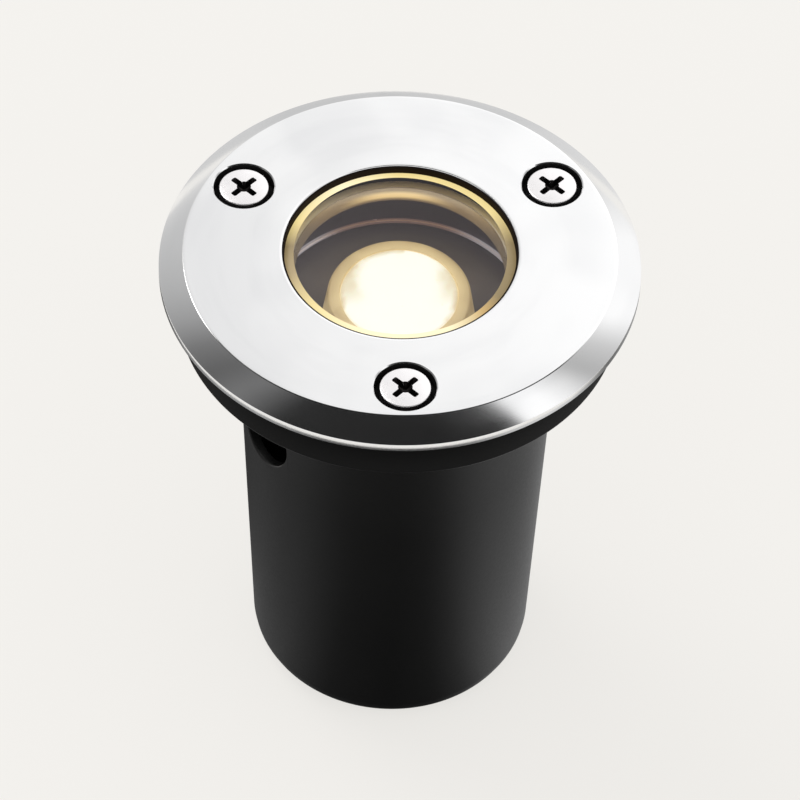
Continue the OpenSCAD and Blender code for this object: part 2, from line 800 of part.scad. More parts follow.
mounting_sleeve();
housing();
trim_ring();
trim_screws();
lens_glass();
lens_gasket();
lens_frame();
baffle_plate();
lamp_bezel();
lamp_lens();
lamp_shell();
led_board();
led_emitter();
lamp_base();
lamp_pins();
lamp_socket();
socket_contacts();
socket_bracket();
bracket_screws();
terminal_block();
terminal_tubes();
terminal_screws();
gland_body();
gland_washer();
gland_locknut();
gland_seal();
gland_nut();
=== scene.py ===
"""In-ground well light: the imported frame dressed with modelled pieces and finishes, for a studio picture."""
import json
import math

import bmesh
import bpy
from mathutils import Matrix, Vector

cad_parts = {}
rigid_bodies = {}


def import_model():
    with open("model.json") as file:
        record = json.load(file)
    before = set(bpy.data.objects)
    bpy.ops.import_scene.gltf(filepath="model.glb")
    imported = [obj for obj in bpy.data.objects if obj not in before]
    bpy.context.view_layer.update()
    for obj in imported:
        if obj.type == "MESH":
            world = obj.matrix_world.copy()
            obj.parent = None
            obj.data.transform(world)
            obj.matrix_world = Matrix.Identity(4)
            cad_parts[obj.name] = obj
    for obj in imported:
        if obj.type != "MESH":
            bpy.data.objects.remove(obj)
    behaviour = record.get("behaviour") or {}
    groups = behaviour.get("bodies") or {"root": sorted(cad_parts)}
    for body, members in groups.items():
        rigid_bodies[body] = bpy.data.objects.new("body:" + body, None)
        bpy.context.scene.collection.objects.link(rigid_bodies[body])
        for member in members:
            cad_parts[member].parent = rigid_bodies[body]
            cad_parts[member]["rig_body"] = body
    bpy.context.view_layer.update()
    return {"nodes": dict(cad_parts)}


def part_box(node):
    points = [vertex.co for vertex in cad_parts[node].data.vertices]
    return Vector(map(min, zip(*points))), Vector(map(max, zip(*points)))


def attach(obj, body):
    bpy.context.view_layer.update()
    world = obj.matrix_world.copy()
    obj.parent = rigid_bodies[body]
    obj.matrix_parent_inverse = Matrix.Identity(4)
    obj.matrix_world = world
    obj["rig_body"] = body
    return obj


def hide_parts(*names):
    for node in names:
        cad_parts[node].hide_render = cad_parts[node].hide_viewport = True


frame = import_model()
mm = 0.001
# points nearer to each other than this are one point
weld = 0.001 * mm
# how far from its place a test still finds a face
slack = 0.1 * mm


def lowest(node):
    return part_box(node)[0].z


def highest(node):
    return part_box(node)[1].z


def reach(node):
    """How far a node reaches from the light's axis, to its right."""
    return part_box(node)[1].x


# Sizes of the cover
ring_r = reach("trim_ring")
ring_low = lowest("trim_ring")
ring_top = highest("trim_ring")
rim_h = 1.3 * mm
lip_drop = 0.75 * mm
lip_r = reach("mounting_sleeve") + 0.35 * mm
bevel_w = 5.75 * mm
plate_t = 2.6 * mm
opening_r = 28.1 * mm
opening_break = 0.35 * mm
# points this far inside the flat face's two edges keep its shading flat
flat_edge = 0.8 * mm
glass_r = reach("lens_glass")
glass_low = lowest("lens_glass")
glass_top = highest("lens_glass")
glass_edge_t = 3.6 * mm
raised_r = opening_r - 0.5 * mm
ground_w = 2.2 * mm
ground_h = 0.6 * mm
gasket_r = reach("lens_gasket")
gasket_low = lowest("lens_gasket")
lining_top = highest("lens_gasket")
lining_r = opening_r - 0.05 * mm
gasket_bore = raised_r + 0.1 * mm
recess_r = gasket_r + 0.2 * mm

# Sizes of the trim screws
head_r = 6 * mm
head_h = 3.5 * mm
head_top = highest("trim_screws")
shank_low = lowest("trim_screws")
head_low = head_top - head_h
screw_circle = -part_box("trim_screws")[0].y - head_r
screw_count = 3
well_r = 7.35 * mm
thread_r = 3 * mm
thread_pitch = 1 * mm
cross_span = 8.2 * mm
cross_w = 1.65 * mm
cross_depth = 2 * mm

# Sizes of the sleeve
sleeve_top = highest("mounting_sleeve")
collar_r = reach("mounting_sleeve")
collar_h = 13.8 * mm
collar_fillet = 0.8 * mm
collar_z = sleeve_top - collar_h
sleeve_wall = 2.4 * mm
sleeve_floor = 2.6 * mm
barrel_r = 39.27 * mm
barrel_draft = math.radians(1.93)
foot_fillet = 6.9 * mm
side_hole_r = 12 * mm
side_hole_z = collar_z - 23.2 * mm
side_hole_angle = math.radians(-64)
floor_hole_r = 10.5 * mm
drain_r = 3 * mm
drain_circle = 21 * mm
drain_count = 6
rib_t = 2.5 * mm
rib_l = 6.5 * mm
rib_angle = math.radians(28)
ledge_z = collar_z + sleeve_wall
rib_top = ledge_z + 5.7 * mm

# Sizes of the lamp and what stands round it
lens_r = reach("lamp_lens")
glow_r = lens_r - 0.45 * mm
lamp_r = reach("lamp_bezel")
lamp_top = highest("lamp_bezel")
lamp_low = lowest("lamp_bezel")
frame_r = reach("lens_frame")
frame_low = lowest("lens_frame")
frame_top = highest("lens_frame")
frame_bore = 25.3 * mm
frame_flare = 0.4 * mm
frame_flange_t = 2 * mm
skirt_t = 1.6 * mm
baffle_r = reach("baffle_plate")
baffle_low = lowest("baffle_plate")
baffle_top = highest("baffle_plate")
baffle_t = 1 * mm
baffle_hole = lamp_r + 0.35 * mm


def nothing_selected():
    bpy.ops.object.select_all(action="DESELECT")


def only(piece):
    """Selects this piece alone and makes it the active one."""
    nothing_selected()
    piece.select_set(True)
    bpy.context.view_layer.objects.active = piece


def arc_points(centre, radius, start, end, steps):
    """Points along an arc of the half outline, from one angle to another, in degrees."""
    angles = [math.radians(start + (end - start) * k / steps) for k in range(steps + 1)]
    return [(centre[0] + radius * math.cos(a), centre[1] + radius * math.sin(a)) for a in angles]


def rounded(corners, steps=4):
    """Outline points from (radius, height, rounding) corners; a corner without a rounding stays sharp."""
    points = []
    for i, (r, z, *soft) in enumerate(corners):
        here = Vector((r, z))
        if not soft:
            points.append((r, z))
            continue
        back = (Vector(corners[i - 1][:2]) - here).normalized()
        ahead = (Vector(corners[(i + 1) % len(corners)][:2]) - here).normalized()
        half = back.angle(ahead) / 2
        centre = here + (back + ahead).normalized() * soft[0] / math.sin(half)
        start = here + back * soft[0] / math.tan(half) - centre
        end = here + ahead * soft[0] / math.tan(half) - centre
        turn = start.angle_signed(end)
        for k in range(steps + 1):
            spoke = Matrix.Rotation(-turn * k / steps, 2) @ start
            points.append(tuple(centre + spoke))
    return points


def spun(name, outline, steps=144, shut=True):
    """A turned piece: its half outline of (radius, height) points spun round the light's axis."""
    nothing_selected()
    start = outline[0]
    bpy.ops.mesh.primitive_plane_add(size=mm, location=(start[0], 0, start[1]))
    piece = bpy.context.object
    piece.name = name
    bpy.ops.object.mode_set(mode="EDIT")
    bpy.ops.mesh.select_mode(type="VERT")
    bpy.ops.mesh.select_all(action="SELECT")
    bpy.ops.mesh.merge(type="CENTER")
    last = start
    for point in outline[1:] + ([start] if shut else []):
        move = (point[0] - last[0], 0, point[1] - last[1])
        bpy.ops.mesh.extrude_vertices_move(TRANSFORM_OT_translate={"value": move})
        last = point
    bpy.ops.mesh.select_all(action="SELECT")
    bpy.ops.mesh.remove_doubles(threshold=weld)
    bpy.ops.mesh.spin(steps=steps, angle=math.tau, center=(0, 0, 0), axis=(0, 0, 1))
    bpy.ops.mesh.select_all(action="SELECT")
    bpy.ops.mesh.remove_doubles(threshold=weld)
    bpy.ops.mesh.normals_make_consistent(inside=False)
    bpy.ops.object.mode_set(mode="OBJECT")
    settle(piece)
    return piece


def settle(piece):
    """Puts the piece's place into its mesh, so that its object sits at the origin."""
    only(piece)
    bpy.ops.object.transform_apply(location=True, rotation=True, scale=True)


def smooth(piece, angle=32):
    """Shades a piece smooth, except at edges sharper than so many degrees."""
    only(piece)
    bpy.ops.object.shade_smooth_by_angle(angle=math.radians(angle))


def picked(piece, test):
    """Selects, in edit mode, the faces whose middle and normal pass a test."""
    bpy.ops.mesh.select_mode(type="FACE")
    bpy.ops.mesh.select_all(action="DESELECT")
    mesh = bmesh.from_edit_mesh(piece.data)
    for face in mesh.faces:
        if test(face.calc_center_median(), face.normal):
            face.select_set(True)
    mesh.select_flush_mode()
    bmesh.update_edit_mesh(piece.data)


def copied(piece, name):
    """A copy with a mesh of its own."""
    twin = piece.copy()
    twin.data = piece.data.copy()
    twin.name = name
    bpy.context.scene.collection.objects.link(twin)
    return twin


def joined(pieces, name):
    """One piece made of several."""
    nothing_selected()
    for piece in pieces:
        piece.select_set(True)
    bpy.context.view_layer.objects.active = pieces[0]
    bpy.ops.object.join()
    pieces[0].name = name
    return pieces[0]


def carved(piece, tool, way="DIFFERENCE"):
    """Cuts one shape out of another, or welds it on, and removes the tool."""
    only(piece)
    cut = piece.modifiers.new("cut", "BOOLEAN")
    cut.operation = way
    cut.solver = "EXACT"
    cut.object = tool
    bpy.ops.object.modifier_apply(modifier=cut.name)
    bpy.data.objects.remove(tool)
    return piece


def eased(piece, width, segments, angle):
    """Rounds the edges of a piece that are sharper than so many degrees."""
    only(piece)
    ease = piece.modifiers.new("ease", "BEVEL")
    ease.width = width
    ease.segments = segments
    ease.limit_method = "ANGLE"
    ease.angle_limit = math.radians(angle)
    bpy.ops.object.modifier_apply(modifier=ease.name)
    return piece


def moved(piece, place=(0, 0, 0), turn=0.0):
    """Moves a piece, then turns it about the light's axis."""
    piece.data.transform(Matrix.Rotation(turn, 4, "Z") @ Matrix.Translation(Vector(place)))
    return piece


def turns(count, start=0):
    """Angles of evenly spaced places round the light's axis, the first so many steps past the front."""
    return [(i + start) * math.tau / count for i in range(count)]


def round_bar(name, radius, low, high, steps):
    """A plain cutting bar along the light's axis."""
    return spun(name, [(0, low), (radius, low), (radius, high), (0, high)], steps, shut=False)


def painted(piece, finish, where=None):
    """Gives the piece a finish, or only the faces whose middle and normal pass a test."""
    if where is None:
        piece.data.materials.clear()
        piece.data.materials.append(finish)
        return
    piece.data.materials.append(finish)
    index = len(piece.data.materials) - 1
    for face in piece.data.polygons:
        if where(face.center, face.normal):
            face.material_index = index


def fit(piece, body, node):
    """Puts a finished piece on its body, in the place of its node, and hides the node."""
    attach(piece, body)
    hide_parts(node)


class Value:
    """A number socket that takes part in plain arithmetic."""

    def __init__(self, paint, socket):
        self.paint = paint
        self.socket = socket

    def __add__(self, other):
        return self.paint.maths("ADD", self, other)

    def __radd__(self, other):
        return self.paint.maths("ADD", other, self)

    def __sub__(self, other):
        return self.paint.maths("SUBTRACT", self, other)

    def __rsub__(self, other):
        return self.paint.maths("SUBTRACT", other, self)

    def __mul__(self, other):
        return self.paint.maths("MULTIPLY", self, other)

    def __rmul__(self, other):
        return self.paint.maths("MULTIPLY", other, self)

    def __truediv__(self, other):
        return self.paint.maths("DIVIDE", self, other)

    def __rtruediv__(self, other):
        return self.paint.maths("DIVIDE", other, self)


class Paint:
    """A finish built from nodes."""

    def __init__(self, name, tree=None, **fixed):
        if tree is None:
            self.material = bpy.data.materials.new(name)
            self.material.use_nodes = True
            tree = self.material.node_tree
            self.shader = tree.nodes["Principled BSDF"]
            for socket, value in fixed.items():
                self.shader.inputs[socket.replace("_", " ")].default_value = value
        self.tree = tree

    def node(self, kind, settings=None, sockets=None, output=0):
        """Adds a node with its settings, then the values or links of its sockets, and gives one output."""
        made = self.tree.nodes.new(kind)
        for key, value in (settings or {}).items():
            setattr(made, key, value)
        for key, value in (sockets or {}).items():
            self.feed(made.inputs[key], value)
        return Value(self, made.outputs[output])

    def maths(self, operation, *values):
        return self.node("ShaderNodeMath", {"operation": operation}, dict(enumerate(values)))

    def vectors(self, operation, *values, output=0):
        """Vector arithmetic; its output "Value" is for what gives a number, such as a length."""
        return self.node("ShaderNodeVectorMath", {"operation": operation}, dict(enumerate(values)), output)

    def feed(self, socket, value):
        """Links a socket, or gives it a fixed value."""
        if isinstance(value, Value):
            self.tree.links.new(value.socket, socket)
        else:
            socket.default_value = value

    def set(self, **sockets):
        """Feeds the finish's main shader."""
        for name, value in sockets.items():
            self.feed(self.shader.inputs[name.replace("_", " ")], value)

    def place(self):
        """The place on the piece, in metres from the middle of the sleeve's foot."""
        return self.node("ShaderNodeTexCoord", output="Object")

    def flat_place(self):
        """The place without its height."""
        return self.vectors("MULTIPLY", self.place(), (1, 1, 0))

    def grain(self, scale, detail=3.0, stretch=(1, 1, 1)):
        """Soft noise of about 0 to 1, so many cells to the metre."""
        spot = self.node("ShaderNodeMapping", {"vector_type": "POINT"}, {0: self.place(), "Scale": stretch})
        return self.node("ShaderNodeTexNoise", None, {"Vector": spot, "Scale": scale, "Detail": detail})

    def round_grain(self, scale, along, detail):
        """Soft noise drawn out round the light's axis, the more so the smaller its second number is."""
        outward = self.vectors("NORMALIZE", self.flat_place())
        ring = self.node("ShaderNodeVectorMath", {"operation": "SCALE"}, {0: outward, "Scale": along})
        out = self.node("ShaderNodeCombineXYZ", None, {2: self.from_axis()})
        spot = self.vectors("ADD", ring, out)
        return self.node("ShaderNodeTexNoise", None, {"Vector": spot, "Scale": scale, "Detail": detail})

    def part(self, vector, axis):
        """One part of a vector: 0 to the right, 1 to the back, 2 upwards."""
        return self.node("ShaderNodeSeparateXYZ", None, {0: vector}, output=axis)

    def place_part(self, axis):
        return self.part(self.place(), axis)

    def sideways(self):
        """Distance to the left or right of the light's axis."""
        return self.maths("ABSOLUTE", self.place_part(0))

    def from_axis(self):
        """Distance from the light's axis."""
        return self.vectors("LENGTH", self.flat_place(), output="Value")

    def between(self, value, low, high):
        """A value's place between two others, from 0 to 1, smoothed at both ends."""
        return self.node("ShaderNodeMapRange", {"interpolation_type": "SMOOTHSTEP"},
                         {0: value, 1: low, 2: high})

    def blend(self, factor, first, second):
        """A colour between two others."""
        made = self.tree.nodes.new("ShaderNodeMix")
        made.data_type = "RGBA"
        self.feed(made.inputs[0], factor)
        self.feed(made.inputs[6], first)
        self.feed(made.inputs[7], second)
        return Value(self, made.outputs[2])

    def way_round(self, direction):
        """Share of a turn round the light's axis: 0.5 in front, 0.75 to its right, 0.25 to its left."""
        x, y = (self.part(direction, axis) for axis in (0, 1))
        return self.maths("ARCTAN2", x, 0 - y) / math.tau + 0.5

    def round_ramp(self, direction, stops):
        """A colour for each way round, from (degrees to the right of the front, colour) stops."""
        ramp = self.tree.nodes.new("ShaderNodeValToRGB")
        elements = ramp.color_ramp.elements
        while len(elements) < len(stops):
            elements.new(0.5)
        for element, (degrees, tint) in zip(elements, stops):
            element.position = degrees / 360 + 0.5
            element.color = colour(*tint)
        self.feed(ramp.inputs[0], self.way_round(direction))
        return Value(self, ramp.outputs[0])

    def ray(self, kind):
        """1 for a kind of ray, such as "Is Glossy Ray", and 0 for all others."""
        return self.node("ShaderNodeLightPath", output=kind)

    def relief(self, height, depth, strength):
        """Small ups and downs of a surface, so many metres deep."""
        return self.node("ShaderNodeBump", None,
                         {"Strength": strength, "Distance": depth, "Height": height})


def colour(r, g, b):
    return (r, g, b, 1.0)


def greys(pairs):
    """Colour stops from (degrees, grey) pairs."""
    return [(degrees, (grey, grey, grey)) for degrees, grey in pairs]


# Finishes of the cover

def spun_steel():
    """Finely spun stainless steel with soft worn patches."""
    paint = Paint("spun_steel", Metallic=1.0)
    lines = paint.node("ShaderNodeTexNoise", {"noise_dimensions": "1D"},
                       {"W": paint.from_axis(), "Scale": 5200.0, "Detail": 2.0})
    patches = paint.between(paint.grain(30.0, detail=2.0, stretch=(1.0, 0.7, 1.0)), 0.42, 0.62)
    swirl = paint.between(paint.round_grain(95.0, along=10 * mm, detail=3.0), 0.44, 0.70)
    wear = patches * 0.6 + swirl * 0.35
    paint.set(Base_Color=paint.blend(wear, colour(0.955, 0.955, 0.957), colour(0.83, 0.832, 0.84)),
              Roughness=0.09 + lines * 0.04 + swirl * 0.05,
              Normal=paint.relief(lines, depth=0.004 * mm, strength=0.5))
    return paint.material


def turned_edge_painted_shade(name, first, last):
    """Steel of a turned edge with painted shade, dark from one way round to another, in degrees to the right
    of the front.
    """
    paint = Paint(name, Metallic=1.0)
    soft = 14
    bright, dark = 0.92, 0.05
    spots = paint.grain(400.0, detail=2.0)
    stops = greys([(-180, bright), (first - soft, bright), (first, dark), (last, dark),
                   (last + soft, bright), (179.9, bright)])
    paint.set(Base_Color=paint.round_ramp(paint.place(), stops),
              Roughness=0.12 + spots * 0.06)
    return paint.material


def well_painted_shade():
    """Painted shade: near-black in the wells that the screws stand in."""
    paint = Paint("well_painted_shade", Specular_IOR_Level=0.2)
    spots = paint.grain(900.0)
    paint.set(Base_Color=paint.blend(spots, colour(0.004, 0.004, 0.004), colour(0.012, 0.011, 0.011)),
              Roughness=0.6 + spots * 0.2)
    return paint.material


def screw_steel():
    """Pale pressed steel of the screws."""
    paint = Paint("screw_head_steel", Metallic=1.0)
    spots = paint.grain(700.0, detail=2.0)
    paint.set(Base_Color=paint.blend(spots, colour(0.93, 0.905, 0.91), colour(0.86, 0.845, 0.85)),
              Roughness=0.22 + spots * 0.12,
              Normal=paint.relief(spots, depth=0.01 * mm, strength=0.4))
    return paint.material


def recess_painted_shade():
    """Painted shade in the drive recess of a screw: near-black steel."""
    paint = Paint("recess_painted_shade", Metallic=1.0)
    spots = paint.grain(1500.0, detail=2.0)
    paint.set(Base_Color=paint.blend(spots, colour(0.012, 0.010, 0.010), colour(0.04, 0.036, 0.036)),
              Roughness=0.4 + spots * 0.2)
    return paint.material


def clear_glass():
    """Clear plate glass, faintly smeared."""
    paint = Paint("plate_glass", IOR=1.5, Transmission_Weight=1.0, Specular_Tint=colour(0.52, 0.48, 0.54))
    smears = paint.grain(60.0, detail=3.0)
    paint.set(Base_Color=paint.blend(smears, colour(0.98, 0.99, 0.985), colour(0.95, 0.97, 0.96)),
              Roughness=smears * 0.02)
    return paint.material


def ground_glass_with_painted_glow():
    """The ground bevel of the glass, with a painted glow: gold where the lamp's light leaves it, dull at its
    left and right.
    """
    paint = Paint("ground_glass_painted_glow", IOR=1.5, Emission_Strength=1.0)
    spots = paint.grain(1500.0, detail=2.0)
    gold, pale, dull = (0.78, 0.64, 0.28), (0.98, 0.90, 0.60), (0.17, 0.13, 0.065)
    glow = paint.round_ramp(paint.place(), [
        (-180, gold), (-150, pale), (-115, gold), (-97, dull), (-78, (0.30, 0.23, 0.12)), (-52, gold),
        (-20, pale), (24, pale), (46, (0.50, 0.33, 0.12)), (60, dull), (98, dull), (122, gold),
        (179.9, gold)])
    paint.set(Base_Color=paint.blend(spots, colour(0.15, 0.11, 0.05), colour(0.20, 0.15, 0.08)),
              Roughness=0.35 + spots * 0.2,
              Emission_Color=glow,
              Normal=paint.relief(spots, depth=0.01 * mm, strength=0.5))
    return paint.material


def black_silicone():
    """Black silicone rubber of the gasket."""
    paint = Paint("black_silicone_rubber", Specular_IOR_Level=0.1)
    spots = paint.grain(800.0)
    paint.set(Base_Color=paint.blend(spots, colour(0.005, 0.002, 0.001), colour(0.013, 0.007, 0.005)),
              Roughness=0.6 + spots * 0.2,
              Normal=paint.relief(spots, depth=0.02 * mm, strength=0.4))
    return paint.material


# Finishes of the sleeve, the fixture and the lamp

def moulded_black(name, dark, light, rough, heights=None):
    """Black moulded plastic, finely grained, in soft patches, or, given heights, with painted shade that makes
    it darker at the first height and paler towards the second.
    """
    paint = Paint(name, Specular_IOR_Level=0.25 if rough < 0.4 else 0.06)
    fine = paint.grain(1400.0, detail=3.0)
    broad = paint.between(paint.place_part(2), *heights) if heights else paint.grain(35.0, detail=2.0)
    paint.set(Base_Color=paint.blend(broad, colour(dark, dark, dark), colour(light, light, light)),
              Roughness=rough + fine * 0.12,
              Normal=paint.relief(fine, depth=0.03 * mm, strength=0.35))
    return paint.material


def frame_metal():
    """Warm satin metal under the glass, with painted light that makes it brighter at its left and right."""
    paint = Paint("frame_satin")
    turned = paint.grain(120.0, detail=2.0)
    side_light = paint.between(paint.sideways() / frame_bore, 0.35, 1.0)
    tone = side_light * 0.8 + turned * 0.2
    paint.set(Base_Color=paint.blend(tone, colour(0.40, 0.32, 0.28), colour(0.80, 0.70, 0.60)),
              Metallic=0.25 + turned * 0.1,
              Roughness=0.32 + turned * 0.06)
    return paint.material


def frame_wall():
    """The frame's inner wall, with a painted highlight: a gold band of the lamp's light across it in front and
    behind, and painted light that makes it paler at its left and right.
    """
    paint = Paint("frame_wall", Emission_Strength=1.0)
    turned = paint.grain(120.0, detail=2.0)
    side_light = paint.between(paint.sideways() / frame_bore, 0.35, 1.0)
    tone = side_light * 0.8 + turned * 0.2
    height = (paint.place_part(2) - frame_low) / (frame_top - frame_low)
    lower = paint.between(height, 0.10, 0.34)
    upper = paint.between(height, 0.80, 0.46)
    middle = paint.between(paint.sideways() / frame_bore, 0.62, 0.12)
    band = lower * upper * middle
    paint.set(Base_Color=paint.blend(tone, colour(0.44, 0.36, 0.28), colour(0.66, 0.57, 0.45)),
              Metallic=0.55 + turned * 0.1,
              Roughness=0.2 + turned * 0.06,
              Emission_Color=paint.blend(band, colour(0.03, 0.02, 0.01), colour(0.62, 0.44, 0.19)))
    return paint.material


def baffle_edge_painted_highlight():
    """The baffle's turned-up edge, with a painted highlight: the lamp as a thin glowing line, paler at its
    left and right.
    """
    paint = Paint("baffle_edge_painted_highlight", Metallic=0.85, Emission_Strength=1.0)
    turned = paint.grain(300.0, detail=2.0)
    side_light = paint.between(paint.sideways() / baffle_r, 0.34, 0.68)
    paint.set(Base_Color=paint.blend(turned, colour(0.38, 0.28, 0.25), colour(0.54, 0.43, 0.39)),
              Roughness=0.22 + turned * 0.08,
              Emission_Color=paint.blend(side_light, colour(0.09, 0.05, 0.038), colour(0.22, 0.205, 0.215)))
    return paint.material


def baffle_satin():
    """Satin paint of the baffle, with a painted pool of the lamp's light that makes it paler near and behind
    the lamp.
    """
    paint = Paint("baffle_satin")
    peel = paint.grain(600.0, detail=2.0)
    near = paint.between(paint.from_axis(), 33 * mm, 25 * mm)
    behind = paint.between(paint.place_part(1), -2 * mm, 17 * mm)
    tone = near * behind + peel * 0.05
    paint.set(Base_Color=paint.blend(tone, colour(0.098, 0.084, 0.092), colour(0.37, 0.318, 0.303)),
              Roughness=0.42 + peel * 0.12,
              Normal=paint.relief(peel, depth=0.006 * mm, strength=0.5))
    return paint.material


def satin_paint(name, dark, light, rough, scale, depth=0.03):
    """A satin skin with a slight peel: so many cells to the metre, and so many millimetres deep."""
    paint = Paint(name)
    peel = paint.grain(scale, detail=2.0)
    broad = paint.grain(50.0, detail=2.0)
    paint.set(Base_Color=paint.blend(broad, dark, light),
              Roughness=rough + peel * 0.12,
              Normal=paint.relief(peel, depth=depth * mm, strength=0.5))
    return paint.material


def plain_metal(name, dark, light, rough):
    """Bare or plated metal, slightly mottled."""
    paint = Paint(name, Metallic=1.0)
    spots = paint.grain(600.0, detail=3.0)
    paint.set(Base_Color=paint.blend(spots, dark, light),
              Roughness=rough + spots * 0.12,
              Normal=paint.relief(spots, depth=0.01 * mm, strength=0.4))
    return paint.material


def cast_grey():
    """Dark warm grey powder coat on a casting, painted paler inside the bowl as a painted pool of the lamp's
    light, and darker just under the frame as painted shade.
    """
    paint = Paint("cast_grey")
    peel = paint.grain(420.0, detail=2.0)
    in_bowl = (paint.between(paint.from_axis(), 34.5 * mm, 33.5 * mm)
               * paint.between(paint.place_part(2), baffle_low, baffle_low + mm))
    frame_shade = paint.between(paint.place_part(2), frame_low - 5 * mm, frame_low - 0.5 * mm)
    broad = paint.grain(50.0, detail=2.0)
    coat = paint.blend(broad, colour(0.046, 0.043, 0.044), colour(0.062, 0.058, 0.059))
    lit = paint.blend(frame_shade, colour(0.115, 0.096, 0.102), colour(0.020, 0.016, 0.018))
    paint.set(Base_Color=paint.blend(in_bowl, coat, lit),
              Roughness=0.5 + peel * 0.12,
              Normal=paint.relief(peel, depth=0.02 * mm, strength=0.5))
    return paint.material


def nylon(name, dark, light):
    """Moulded nylon with a fine skin."""
    return satin_paint(name, dark, light, rough=0.42, scale=1100.0, depth=0.02)


def lit_lens():
    """The lamp's moulded front lens, lit from behind, dimmer and warmer towards its edge."""
    paint = Paint("lit_lens", Emission_Strength=1.0)
    pips = paint.grain(420.0, detail=1.0)
    cloud = paint.between(paint.grain(150.0, detail=3.0), 0.40, 0.66)
    edge = paint.between(paint.from_axis() + cloud * 1.1 * mm, glow_r * 0.93, glow_r * 1.09)
    aside = paint.between(paint.sideways() + cloud * 2 * mm, glow_r * 0.55, glow_r * 0.95)
    behind = paint.between(paint.place_part(1), -5 * mm, 3 * mm)
    glow = paint.blend(aside * behind, colour(0.97, 0.93, 0.83), colour(0.72, 0.63, 0.44))
    paint.set(Base_Color=paint.blend(pips, colour(0.28, 0.26, 0.21), colour(0.34, 0.32, 0.27)),
              Roughness=0.25 + pips * 0.1,
              Emission_Color=paint.blend(edge, glow, colour(0.58, 0.44, 0.22)))
    return paint.material


def bezel_gold():
    """Pale gold of the lamp's front ring, with a painted glow where the lens lights it."""
    paint = Paint("bezel_gold", Emission_Strength=1.0)
    spots = paint.between(paint.grain(190.0, detail=4.0), 0.36, 0.64)
    dim = paint.between(paint.from_axis(), glow_r, lamp_r) * 0.55 + spots * 0.45
    paint.set(Base_Color=paint.blend(spots, colour(0.42, 0.31, 0.16), colour(0.60, 0.46, 0.26)),
              Metallic=0.25 + spots * 0.1,
              Roughness=0.35 + spots * 0.15,
              Emission_Color=paint.blend(dim, colour(0.52, 0.40, 0.20), colour(0.20, 0.135, 0.055)))
    return paint.material


# Pieces of the cover

def trim_ring():
    """The ring: flat face, bevel and rim, with a drip lip outside the collar and three wells."""
    low, top = ring_low, ring_top
    plate = top - plate_t
    flat_r = ring_r - bevel_w
    outline = rounded([
        (ring_r, low - lip_drop, 0.12 * mm), (ring_r, low + rim_h, 0.12 * mm), (flat_r, top, 0.45 * mm),
        (flat_r - flat_edge, top), (opening_r + flat_edge, top), (opening_r, top, opening_break),
        (opening_r, plate, 0.15 * mm), (recess_r, plate), (recess_r, low, 0.2 * mm),
        (lip_r, low), (lip_r, low - lip_drop, 0.1 * mm)])
    ring = spun("trim_ring_body", outline, steps=180)
    for turn in turns(screw_count):
        carved(ring, moved(screw_well(), (0, -screw_circle, 0), turn))
    smooth(ring, angle=20)
    painted(ring, spun_steel())
    # painted shade: the rim is painted dark from 56 to 104 degrees to the right of the front
    painted(ring, turned_edge_painted_shade("rim_steel_painted_shade", first=56, last=104),
            lambda centre, normal: abs(normal.z) < 0.3 and centre.xy.length > ring_r - slack)
    # painted shade: a dark line painted on the break between the flat face and the bevel, from 56 degrees left
    # to 44 degrees right of the front
    painted(ring, turned_edge_painted_shade("break_steel_painted_shade", first=-56, last=44),
            lambda centre, normal: 0.84 < normal.z < 0.9985 and abs(centre.xy.length - flat_r) < 0.3 * mm)
    # painted shade: the wells under the screw heads are painted near-black
    painted(ring, well_painted_shade(), in_a_well)
    return ring


def screw_well():
    """The shape that cuts a screw's well, with an eased lip, and the clearance hole under it."""
    lip = 0.25 * mm
    bore = thread_r + 0.3 * mm
    outline = [
        (0, ring_low - mm), (bore, ring_low - mm), (bore, head_low), (well_r, head_low),
        (well_r, ring_top - lip), (well_r + lip, ring_top), (well_r + lip, ring_top + mm),
        (0, ring_top + mm)]
    return spun("well", outline, steps=64, shut=False)


def in_a_well(centre, normal):
    """Whether a face lies below the lip of a screw's well."""
    for turn in turns(screw_count):
        middle = Matrix.Rotation(turn, 3, "Z") @ Vector((0, -screw_circle, 0))
        if (centre.xy - middle.xy).length < well_r + 0.01 * mm and centre.z < ring_top - 0.3 * mm:
            return centre.z > ring_low + 0.01 * mm
    return False


def cross_tool():
    """A tapered cross that cuts the drive recess, with its wings on the diagonals."""
    nothing_selected()
    top, floor = head_top + 0.4 * mm, head_top - cross_depth
    bpy.ops.mesh.primitive_cube_add(size=1, location=(0, 0, (top + floor) / 2),
                                    scale=(cross_w, cross_w, top - floor))
    tool = bpy.context.object
    bpy.ops.object.transform_apply(location=True, rotation=True, scale=True)
    bpy.ops.object.mode_set(mode="EDIT")
    for side in (Vector((1, 0, 0)), Vector((-1, 0, 0)), Vector((0, 1, 0)), Vector((0, -1, 0))):
        picked(tool, lambda centre, normal: normal.dot(side) > 0.9 and abs(centre.dot(side.yxz)) < slack)
        bpy.ops.mesh.extrude_region_move(TRANSFORM_OT_translate={"value": side * (cross_span - cross_w) / 2})
    picked(tool, lambda centre, normal: normal.z < -0.9)
    bpy.ops.transform.resize(value=(0.62, 0.62, 1), center_override=(0, 0, floor))
    bpy.ops.mesh.select_all(action="DESELECT")
    bpy.ops.object.mode_set(mode="OBJECT")
    tool.data.transform(Matrix.Rotation(math.radians(45), 4, "Z"))
    eased(tool, 0.35 * mm, segments=3, angle=60)
    core = [(0, floor - 0.2 * mm), (0.9 * mm, floor), (1.9 * mm, top), (0, top)]
    return carved(tool, spun("recess_core", core, steps=24, shut=False), "UNION")


